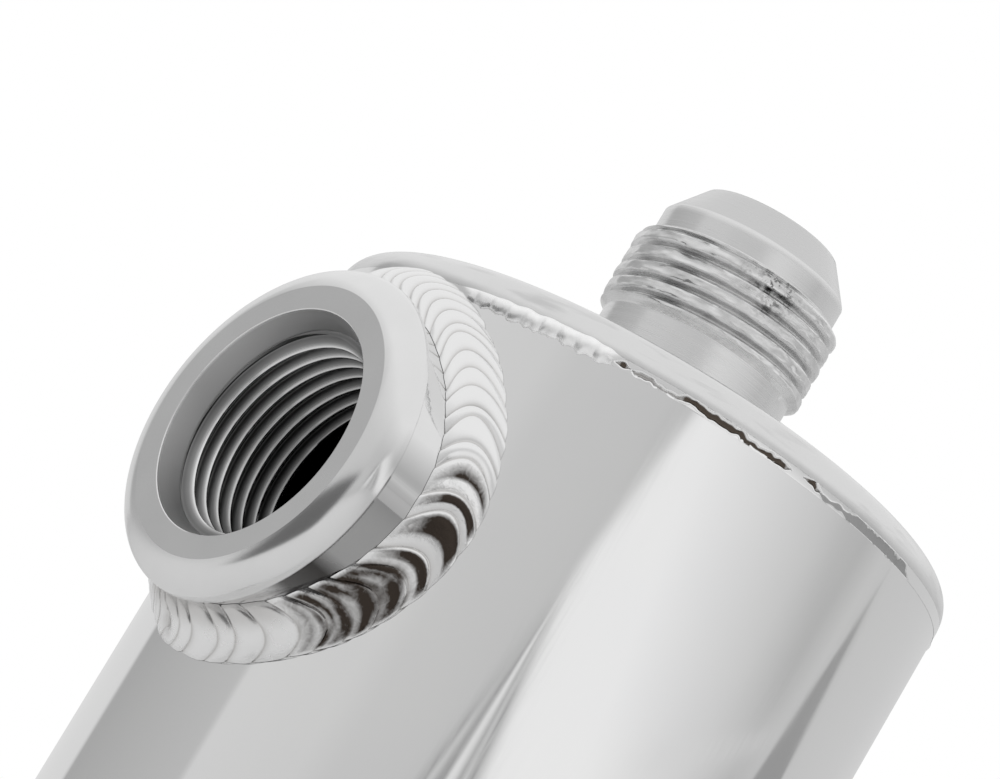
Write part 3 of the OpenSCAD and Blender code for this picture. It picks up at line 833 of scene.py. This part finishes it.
def turned_metal(name, axis_z, greys_and_shade, roughness, neck_d, polish=0.75, neck_shade=()):
    """Turned metal with tool rings round an axis that points out of the side at a height. Its grey, with
    painted shade in its hollows, and its roughness go by the distance from the axis, and the neck behind a
    depth is polished, in mm.
    Painted shade on the neck goes by the angle round the axis, in degrees."""
    material, tree, shader, place = new_finish(name, 0.80, 0.2)
    middle = add_node(tree, "ShaderNodeMapping", {
        "Vector": place, "Location": (0, 0, -axis_z * MM),
    }).outputs["Vector"]
    from_axis = add_node(tree, "ShaderNodeVectorMath", {
        0: stretched(tree, middle, (1, 0, 1)),
    }, operation="LENGTH").outputs["Value"]
    ring_place = add_node(tree, "ShaderNodeCombineXYZ", {0: from_axis}).outputs["Vector"]
    tool_rings = cloudy(tree, ring_place, 9000.0, 3.0, 0.6)
    haze = cloudy(tree, place, 120.0, 5.0, 0.6)
    # The greys paint shade into hollows: darker thread flanks and roots, seal chamfers and key sockets
    grey = grey_ramp(tree, from_axis, greys_and_shade, MM)
    depth_in = part_of(tree, place, "Y")
    in_bore = remap(tree, from_axis, greys_and_shade[-3][0] * MM, greys_and_shade[-2][0] * MM, 1, 0)
    shadow = product(tree, in_bore, remap(
        tree, depth_in, -(neck_d + 1) * MM, -(neck_d - 13) * MM, 0, 0.6,
    ))
    color = shade_of(tree, remap(tree, haze, 0.3, 0.7, 0, 0.12), grey, 0.5)
    behind = remap(tree, depth_in, -(neck_d + 0.2) * MM, -(neck_d - 0.2) * MM)
    neck = product(tree, behind, inverse(tree, in_bore))
    # Painted shade on the neck behind the flange, dark over a span of angles round the axis
    if neck_shade:
        turned = combine(tree, "ARCTAN2", part_of(tree, middle, "Z"), part_of(tree, middle, "X"))
        painted_neck_shade = grey_ramp(tree, turned, neck_shade, radians(1))
        color = shade_of(tree, product(tree, neck, painted_neck_shade), color, (0.030, 0.027, 0.025))
    satin = product(
        tree, grey_ramp(tree, from_axis, roughness, MM), remap(tree, tool_rings, 0.3, 0.7, 0.75, 1.25),
    )
    unpolished = inverse(tree, product(tree, neck, polish))
    coat(tree, shader, shade_of(tree, shadow, color, 0.02), product(tree, satin, unpolished))
    raise_marks(tree, shader, product(tree, tool_rings, unpolished), 0.03, 0.02)
    return material


turned_finish = turned_metal(
    "turned_metal", bung_z,
    # painted shade: the thread darkens from its crests to its roots, and the seal chamfer is darker than
    # the face
    greys_and_shade=[
        (0, 0.88), (12.44, 0.88), (12.58, 0.50), (12.85, 0.24), (13.3, 0.13), (13.56, 0.22), (13.62, 0.60),
        (14.48, 0.60), (14.58, 0.80), (25, 0.80),
    ],
    roughness=[
        (0, 0.12), (12.5, 0.14), (12.7, 0.36), (13.55, 0.36), (13.65, 0.42), (14.45, 0.42), (14.6, 0.15),
        (25, 0.15),
    ],
    neck_d=rim_back,
    # painted shade on the neck, darkest from -50 to -38 degrees round the axis
    neck_shade=[
        (-180, 0), (-58, 0), (-50, 0.85), (-38, 0.95), (-31, 0.50), (-3.2, 0.44), (-2, 0.06), (30, 0),
        (180, 0),
    ],
)
stand_in_for(side_bung, "side_bung", turned_finish)


# Weld round the side bung: a wide bright fillet of overlapping scales that climbs from the saddle of
# the tube's wall onto the bung. It ends below in a small crater where the torch was lifted.
bung_weld = fillet_bead(
    "bung_bead", bung_body_r, can_r, (2.6, 5.3), (5.3, 3.8), seed=5, bow=1.25, crater=-101,
    churned=(-58, -28), burnt=(-27, 7),
    length_at=lambda side: 1 + 0.85 * between(side, -36, 9, 10) + 0.5 * between(side, -104, -42, 12),
)
lay_bead(bung_weld, "side_bung_weld", towards_side(bung_z))


# Inlet tube: plain drawn aluminium tube, pushed into the fitting's socket and welded under the cap.
# It leads the gas down through the pack.
def finish_solid(node, finish):
    """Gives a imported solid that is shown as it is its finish."""
    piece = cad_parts[node]
    piece.data.materials.clear()
    piece.data.materials.append(finish)


drawn_finish, tree, shader, place = new_finish("drawn_tube", (0.74, 0.74, 0.75), 0.35)
marks = wheel_marks(tree, place, (2500, 2500, 60))
color = shade_of(tree, marks["Haze"], (0.68, 0.68, 0.69), 0.80)
coat(tree, shader, color, remap(tree, marks["Lines"], 0.3, 0.7, 0.26, 0.46))
raise_marks(tree, shader, marks["Lines"], 0.12, 0.03)
finish_solid("inlet_tube", drawn_finish)
finish_solid("inlet_tube_weld", bead_finish)


# Separator cage: two punched screens with a roll of knitted wire between them, held on three tie rods
# with nuts, and bolted to tabs that are welded inside the tube. The oil settles on the wire.
sheet_finish, tree, shader, place = new_finish("mill_sheet", (0.66, 0.67, 0.68), 0.4)
marks = wheel_marks(tree, place, (1600, 70, 1600))
color = shade_of(tree, marks["Haze"], (0.58, 0.59, 0.60), (0.72, 0.73, 0.74))
coat(tree, shader, color, remap(tree, marks["Lines"], 0.3, 0.7, 0.30, 0.52))
raise_marks(tree, shader, marks["Lines"], 0.15, 0.04)
for screen in ("upper_screen", "lower_screen"):
    finish_solid(screen, sheet_finish)

wire_finish, tree, shader, place = new_finish("knitted_wire", (0.5, 0.5, 0.51), 0.35)
wire_rows = []
for direction, scale, distortion in (("Z", 260.0, 6.0), ("DIAGONAL", 240.0, 7.0)):
    wire_rows.append(add_node(tree, "ShaderNodeTexWave", {
        "Vector": place, "Scale": scale, "Distortion": distortion, "Detail": 2.0, "Detail Scale": 3.0,
    }, wave_type="BANDS", bands_direction=direction).outputs["Fac"])
knit_and_gap_shade = combine(tree, "MAXIMUM", *wire_rows)
# Painted shade: the gaps between the wires are near black
tree.links.new(shade_of(tree, knit_and_gap_shade, 0.05, (0.62, 0.62, 0.63)), shader["Base Color"])
raise_marks(tree, shader, knit_and_gap_shade, 1.0, 0.5)
finish_solid("mesh_pack", wire_finish)

zinc_finish, tree, shader, place = new_finish("zinc_plate", (0.66, 0.66, 0.68), 0.3)
bloom = cloudy(tree, place, 500.0, 5.0, 0.65)
color = shade_of(tree, bloom, (0.54, 0.55, 0.58), (0.76, 0.76, 0.74))
coat(tree, shader, color, remap(tree, bloom, 0.3, 0.7, 0.22, 0.42))
finish_solid("tie_rods", zinc_finish)
finish_solid("tie_rod_nuts", zinc_finish)
finish_solid("screen_tabs", drawn_finish)
finish_solid("screen_tab_welds", bead_finish)


# Drain boss: a small turned ring with a seal chamfer and a fine thread, welded into the tube's wall
# just above the lower cap.
fine_pitch = 25.4 / 18
drain_proud = 5
drain_length = 10.6
drain_face = can_r + drain_proud
drain_inner = drain_face - drain_length
boss_root_r = 7.2
boss_crest_r = 6.42
boss_mouth_r = 9
boss_bore_r = 6.76
seal_depth = 2.2
boss_thread_end = drain_face - seal_depth * (boss_mouth_r - boss_root_r) / (boss_mouth_r - boss_bore_r)
plug_thread_length = 6.6
plug_thread_end = drain_face - seal_depth
plug_thread_start = plug_thread_end - plug_thread_length

drain_boss = turn_on_lathe("threaded_drain_boss", (
    [(boss_root_r, drain_inner), (drain_boss_r, drain_inner)]
    + [(drain_boss_r, z) for z in stations(drain_inner + 1.5, drain_face - 0.6, 1.5)]
    + [(drain_boss_r - 0.6, drain_face)]
    + [(r, drain_face) for r in stations(drain_boss_r - 1.2, boss_mouth_r, 0.8)]
    + [(boss_root_r, boss_thread_end)]
))
boss_thread = threaded_wall(
    "boss_thread", drain_inner, boss_thread_end, fine_pitch, cut_crest,
    cut_in_hole(boss_crest_r, boss_root_r, drain_inner, boss_thread_end),
    crest_at=plug_thread_start + fine_pitch / 2,
)
fit_thread(drain_boss, boss_thread, drain_inner, boss_thread_end, boss_root_r)
carry(drain_boss, towards_side(drain_z))
close_seams(drain_boss)
smooth(drain_boss, 30)
boss_finish = turned_metal(
    "turned_boss", drain_z,
    # painted shade: the thread darkens towards its roots, and the seal chamfer is darker than the face
    greys_and_shade=[
        (0, 0.75), (6.5, 0.75), (6.8, 0.35), (7.15, 0.18), (7.25, 0.45), (8.9, 0.45), (9.05, 0.80),
        (25, 0.80),
    ],
    roughness=[(0, 0.12), (7.2, 0.14), (7.3, 0.26), (8.9, 0.26), (9.1, 0.16), (25, 0.16)],
    neck_d=drain_face - 0.6, polish=0.3,
)
stand_in_for(drain_boss, "drain_boss", boss_finish)

drain_weld = fillet_bead("drain_bead", drain_boss_r, can_r, (2.8, 2.8), (2.8, 2.8), seed=23, bow=0.8)
lay_bead(drain_weld, "drain_boss_weld", towards_side(drain_z))


# Drain plug: turned from aluminium, with a round head, a hexagon socket for the key, a neck for the
# seal ring and a fine thread that screws into the boss.
head_gap = 0.05
head_height = 3
head_face = drain_face + head_gap
head_top = head_face + head_height
head_r = 10
plug_neck_r = 6.1
plug_root_r = 6.3
plug_crest_r = 7.1
socket_flats = 6.35
socket_depth = 5
entry_cone_r = 4.3
entry_cone_middle = head_top - 1.55


def plug_thread_radius(depth, z, angle):
    """Radius of the plug's thread, which starts and ends in the plain metal."""
    r = plug_crest_r - (plug_crest_r - plug_root_r) * depth
    return max(plug_root_r, min(r, plug_root_r + min(z - plug_thread_start, plug_thread_end - z) * 1.3))


drain_plug = turn_on_lathe("hex_socket_drain_plug", (
    [(0, plug_thread_start), (plug_root_r, plug_thread_start), (plug_root_r, plug_thread_end)]
    + [(plug_neck_r, plug_thread_end), (plug_neck_r, head_face), (head_r - 0.3, head_face)]
    + [(head_r, head_face + 0.3), (head_r, head_top - 0.7), (head_r - 0.12, head_top - 0.3)]
    + [(head_r - 0.4, head_top - 0.08), (head_r - 0.7, head_top)]
    + [(r, head_top) for r in stations(head_r - 1.5, 4.5, 1)]
    + [(0, head_top)]
))
plug_thread = threaded_wall(
    "plug_thread", plug_thread_start, plug_thread_end, fine_pitch, cut_crest, plug_thread_radius,
)
fit_thread(drain_plug, plug_thread, plug_thread_start, plug_thread_end, plug_root_r)
pick()
bpy.ops.mesh.primitive_cylinder_add(
    vertices=6,
    radius=socket_flats / 2 / cos(pi / 6) * MM,
    depth=2 * socket_depth * MM,
    location=(0, 0, head_top * MM),
    rotation=(0, 0, pi / 6),
)
cut_away(drain_plug, bpy.context.object)
pick()
bpy.ops.mesh.primitive_cone_add(
    vertices=64,
    radius1=0,
    radius2=entry_cone_r * MM,
    depth=entry_cone_r * MM,
    location=(0, 0, entry_cone_middle * MM),
)
cut_away(drain_plug, bpy.context.object)
carry(drain_plug, towards_side(drain_z))
close_seams(drain_plug)
smooth(drain_plug, 30)
plug_finish = turned_metal(
    "plug_metal", drain_z,
    # painted shade: the key socket and its entry cone are darker than the face
    greys_and_shade=[(0, 0.22), (2.9, 0.22), (3.5, 0.45), (3.9, 0.50), (4.35, 0.74), (25, 0.76)],
    roughness=[(0, 0.30), (3.5, 0.30), (4.4, 0.20), (25, 0.24)],
    neck_d=drain_face, polish=0,
)
stand_in_for(drain_plug, "drain_plug", plug_finish, body="plug")


# Seal ring: a moulded ring of black rubber. It sits on the plug's neck, under its head, and is pressed
# into the boss's chamfer when the plug is screwed in.
rubber_finish, tree, shader, place = new_finish("seal_rubber", 0.03, 0.6, 0.0)
bloom = cloudy(tree, place, 1500.0, 4.0, 0.6)
coat(tree, shader, shade_of(tree, bloom, 0.02, 0.05), remap(tree, bloom, 0.3, 0.7, 0.45, 0.7))
finish_solid("drain_seal", rubber_finish)


# Studio: a pale floor that fades into a white surround, two soft lamps, and the grey panels and the
# light box that show in the polished metal. The camera looks up at the can from the photo's angle.
camera_data = bpy.data.cameras.new("camera")
camera_data.sensor_width = 36
camera_data.lens = 212.94
camera_data.clip_start = 0.02
camera_data.clip_end = 20
camera = bpy.data.objects.new("camera", camera_data)
bpy.context.scene.collection.objects.link(camera)
camera_right = Vector((0.61669, 0.60668, 0.50163))
camera_up = Vector((-0.16356, -0.52457, 0.83551))
camera_back = Vector((0.77003, -0.59729, -0.22427))
camera_place = Vector((515.788, -422.389, 41.552)) * MM
turn = Matrix((camera_right, camera_up, camera_back)).transposed().to_4x4()
camera.matrix_world = Matrix.Translation(camera_place) @ turn
bpy.context.scene.camera = camera
bpy.context.scene.view_settings.view_transform = "Standard"


def soft_lamp(name, place, aim, size, power):
    """A square lamp that lights the floor and the matt pieces."""
    data = bpy.data.lights.new(name, "AREA")
    data.size = size
    data.energy = power
    lamp = bpy.data.objects.new(name, data)
    bpy.context.scene.collection.objects.link(lamp)
    lamp.location = place
    lamp.rotation_euler = (Vector(aim) - Vector(place)).to_track_quat("-Z", "Y").to_euler()
    lamp.visible_glossy = False


soft_lamp("overhead_lamp", (-0.5, -0.6, 1.4), (0, 0, 0.1), 1.0, 7)
soft_lamp("side_lamp", (0.9, -0.9, 1.0), (0, 0, 0.1), 0.8, 3)

world = bpy.data.worlds.new("studio")
bpy.context.scene.world = world
world.use_nodes = True
tree = world.node_tree
direction = tree.nodes.new("ShaderNodeTexCoord").outputs["Generated"]
photo_side = radians(52.2)
facing = Vector((sin(photo_side), -cos(photo_side), 0))
rightwards = Vector((-facing.y, facing.x, 0))


def share_along(axis):
    """How far the reflected direction points along an axis."""
    inputs = {0: direction, 1: axis}
    return add_node(tree, "ShaderNodeVectorMath", inputs, operation="DOT_PRODUCT").outputs["Value"]


def over(under, mask, value):
    """Lays a grey, or a value, over another by a mask."""
    mix = add_node(tree, "ShaderNodeMix", data_type="FLOAT")
    tree.links.new(mask, mix.inputs[0])
    for socket, entry in ((2, under), (3, value)):
        if isinstance(entry, bpy.types.NodeSocket):
            tree.links.new(entry, mix.inputs[socket])
        else:
            mix.inputs[socket].default_value = entry
    return mix.outputs[0]


turned = combine(tree, "ARCTAN2", share_along(rightwards), share_along(facing))
azimuth = product(tree, turned, degrees(1))
elevation = product(tree, combine(tree, "ARCSINE", share_along((0, 0, 1))), degrees(1))
panels = grey_ramp(tree, azimuth, [
    (-180, 0.68), (-170, 0.75), (-137, 0.75), (-135, 0.43), (-80.6, 0.55), (-79.4, 0.71), (-45, 0.68),
    (-34, 0.63), (-12, 0.61), (-2, 0.60), (0, 0.58), (66, 0.57), (84, 0.50), (94, 0.61), (106, 0.62),
    (150, 0.66), (174, 0.66), (180, 0.68),
])
box_middle = 11.75
from_middle = combine(tree, "SUBTRACT", elevation, box_middle)
off_middle = combine(tree, "ABSOLUTE", from_middle)
box_edge = combine(tree, "SUBTRACT", product(tree, azimuth, 0.25), off_middle)
box_end = combine(tree, "ADD", azimuth, product(tree, from_middle, 6.0))
light_box = product(tree, remap(tree, box_edge, -0.55, 0.35), remap(tree, box_end, 26.0, 84.0, 1, 0))
seen = over(panels, light_box, 0.93)

# Thin dark and bright lines fan out below the light box's corner
fan = combine(tree, "DIVIDE", azimuth, combine(tree, "MAXIMUM", product(tree, from_middle, -1.0), 0.05))
fan_greys = grey_ramp(tree, fan, [
    (-8, 0.5), (-4.16, 0.5), (-3.2, 0.20), (-2.56, 0.66), (-1.6, 0.24), (-0.96, 0.26), (-0.48, 0.80),
    (0.32, 0.66), (0.96, 0.26), (1.6, 0.66), (2.4, 0.16), (3.2, 0.5), (8, 0.5),
])
fan_room = product(tree, remap(tree, from_middle, -0.4, -0.05, 1, 0), product(
    tree, remap(tree, azimuth, -16.0, -8.0), remap(tree, fan, 3.0, 4.2, 1, 0),
))
seen = combine(tree, "ADD", seen, product(
    tree, fan_room, combine(tree, "SUBTRACT", fan_greys, 0.5),
))

# A bright strip runs on from the box's lower edge to a dark wedge
strip_line = remap(tree, azimuth, 50, 95, 10.55, 11.45)
off_strip = combine(tree, "ABSOLUTE", combine(tree, "SUBTRACT", elevation, strip_line))
strip = product(tree, remap(tree, off_strip, 0.04, 0.18, 1, 0), product(
    tree, remap(tree, azimuth, 44.0, 56.0), remap(tree, azimuth, 86.0, 96.0, 1, 0),
))
seen = over(seen, strip, 0.74)
wedge_side = combine(tree, "ABSOLUTE", combine(tree, "SUBTRACT", azimuth, 100.5))
wedge_room = product(tree, combine(tree, "SUBTRACT", 13.1, elevation), 3.1)
wedge = product(
    tree, remap(tree, combine(tree, "SUBTRACT", wedge_room, wedge_side), -0.25, 0.25),
    remap(tree, elevation, 4.0, 9.0),
)
seen = over(seen, wedge, 0.35)
seen = over(seen, remap(tree, elevation, 15.5, 34.0), 0.92)
seen = over(seen, remap(tree, elevation, -14.0, 2.0, 1, 0), 0.62)

rays = tree.nodes.new("ShaderNodeLightPath").outputs
lit = over(0.6, rays["Is Glossy Ray"], seen)
open_view = combine(tree, "MAXIMUM", rays["Is Camera Ray"], rays["Is Transmission Ray"])
shown = over(lit, open_view, 1.0)
tree.links.new(shown, tree.nodes["Background"].inputs["Color"])

pick()
bpy.ops.mesh.primitive_circle_add(vertices=96, radius=3, fill_type="NGON", location=(0, 0, 0))
floor_disc = named("studio_floor")
floor_finish, tree, shader, place = new_finish("pale_floor", 0.80, 0.7, 0.0)
from_can = add_node(tree, "ShaderNodeVectorMath", {0: place}, operation="LENGTH").outputs["Value"]
glow = tree.nodes.new("ShaderNodeEmission")
fade = tree.nodes.new("ShaderNodeMixShader")
rays = tree.nodes.new("ShaderNodeLightPath").outputs
seen_directly = combine(tree, "MAXIMUM", rays["Is Camera Ray"], rays["Is Transmission Ray"])
far_off = product(tree, remap(tree, from_can, 0.12, 0.75), seen_directly)
tree.links.new(far_off, fade.inputs[0])
tree.links.new(tree.nodes["Principled BSDF"].outputs[0], fade.inputs[1])
tree.links.new(glow.outputs[0], fade.inputs[2])
tree.links.new(fade.outputs[0], tree.nodes["Material Output"].inputs["Surface"])
floor_disc.data.materials.append(floor_finish)

# A dark board slopes up in front of the can, where only its reflection shows
pick()
bpy.ops.mesh.primitive_grid_add(x_subdivisions=32, y_subdivisions=32, size=2)
dark_board = named("dark_board")
cover = []
for vertex in dark_board.data.vertices:
    across, up = (vertex.co.x + 1) / 2, (vertex.co.y + 1) / 2
    low_edge = Vector((-0.33 + 0.46 * across, -0.45 - 0.10 * across, 0.001))
    high_edge = Vector((-2.07 + 3.20 * across, -2.9, 0.42))
    vertex.co = low_edge + (high_edge - low_edge) * up
    cover.append(ease(min(across, 1 - across) / 0.24) * ease((1 - up) / 0.20))
keep_mark(dark_board, "cover", cover)
card_finish, tree, shader, place = new_finish("dark_board", 0.12, 0.8, 0.0)
tree.links.new(mark_of(tree, "cover"), shader["Alpha"])
dark_board.data.materials.append(card_finish)
dark_board.visible_camera = False
dark_board.visible_diffuse = False
dark_board.visible_transmission = False
dark_board.visible_shadow = False
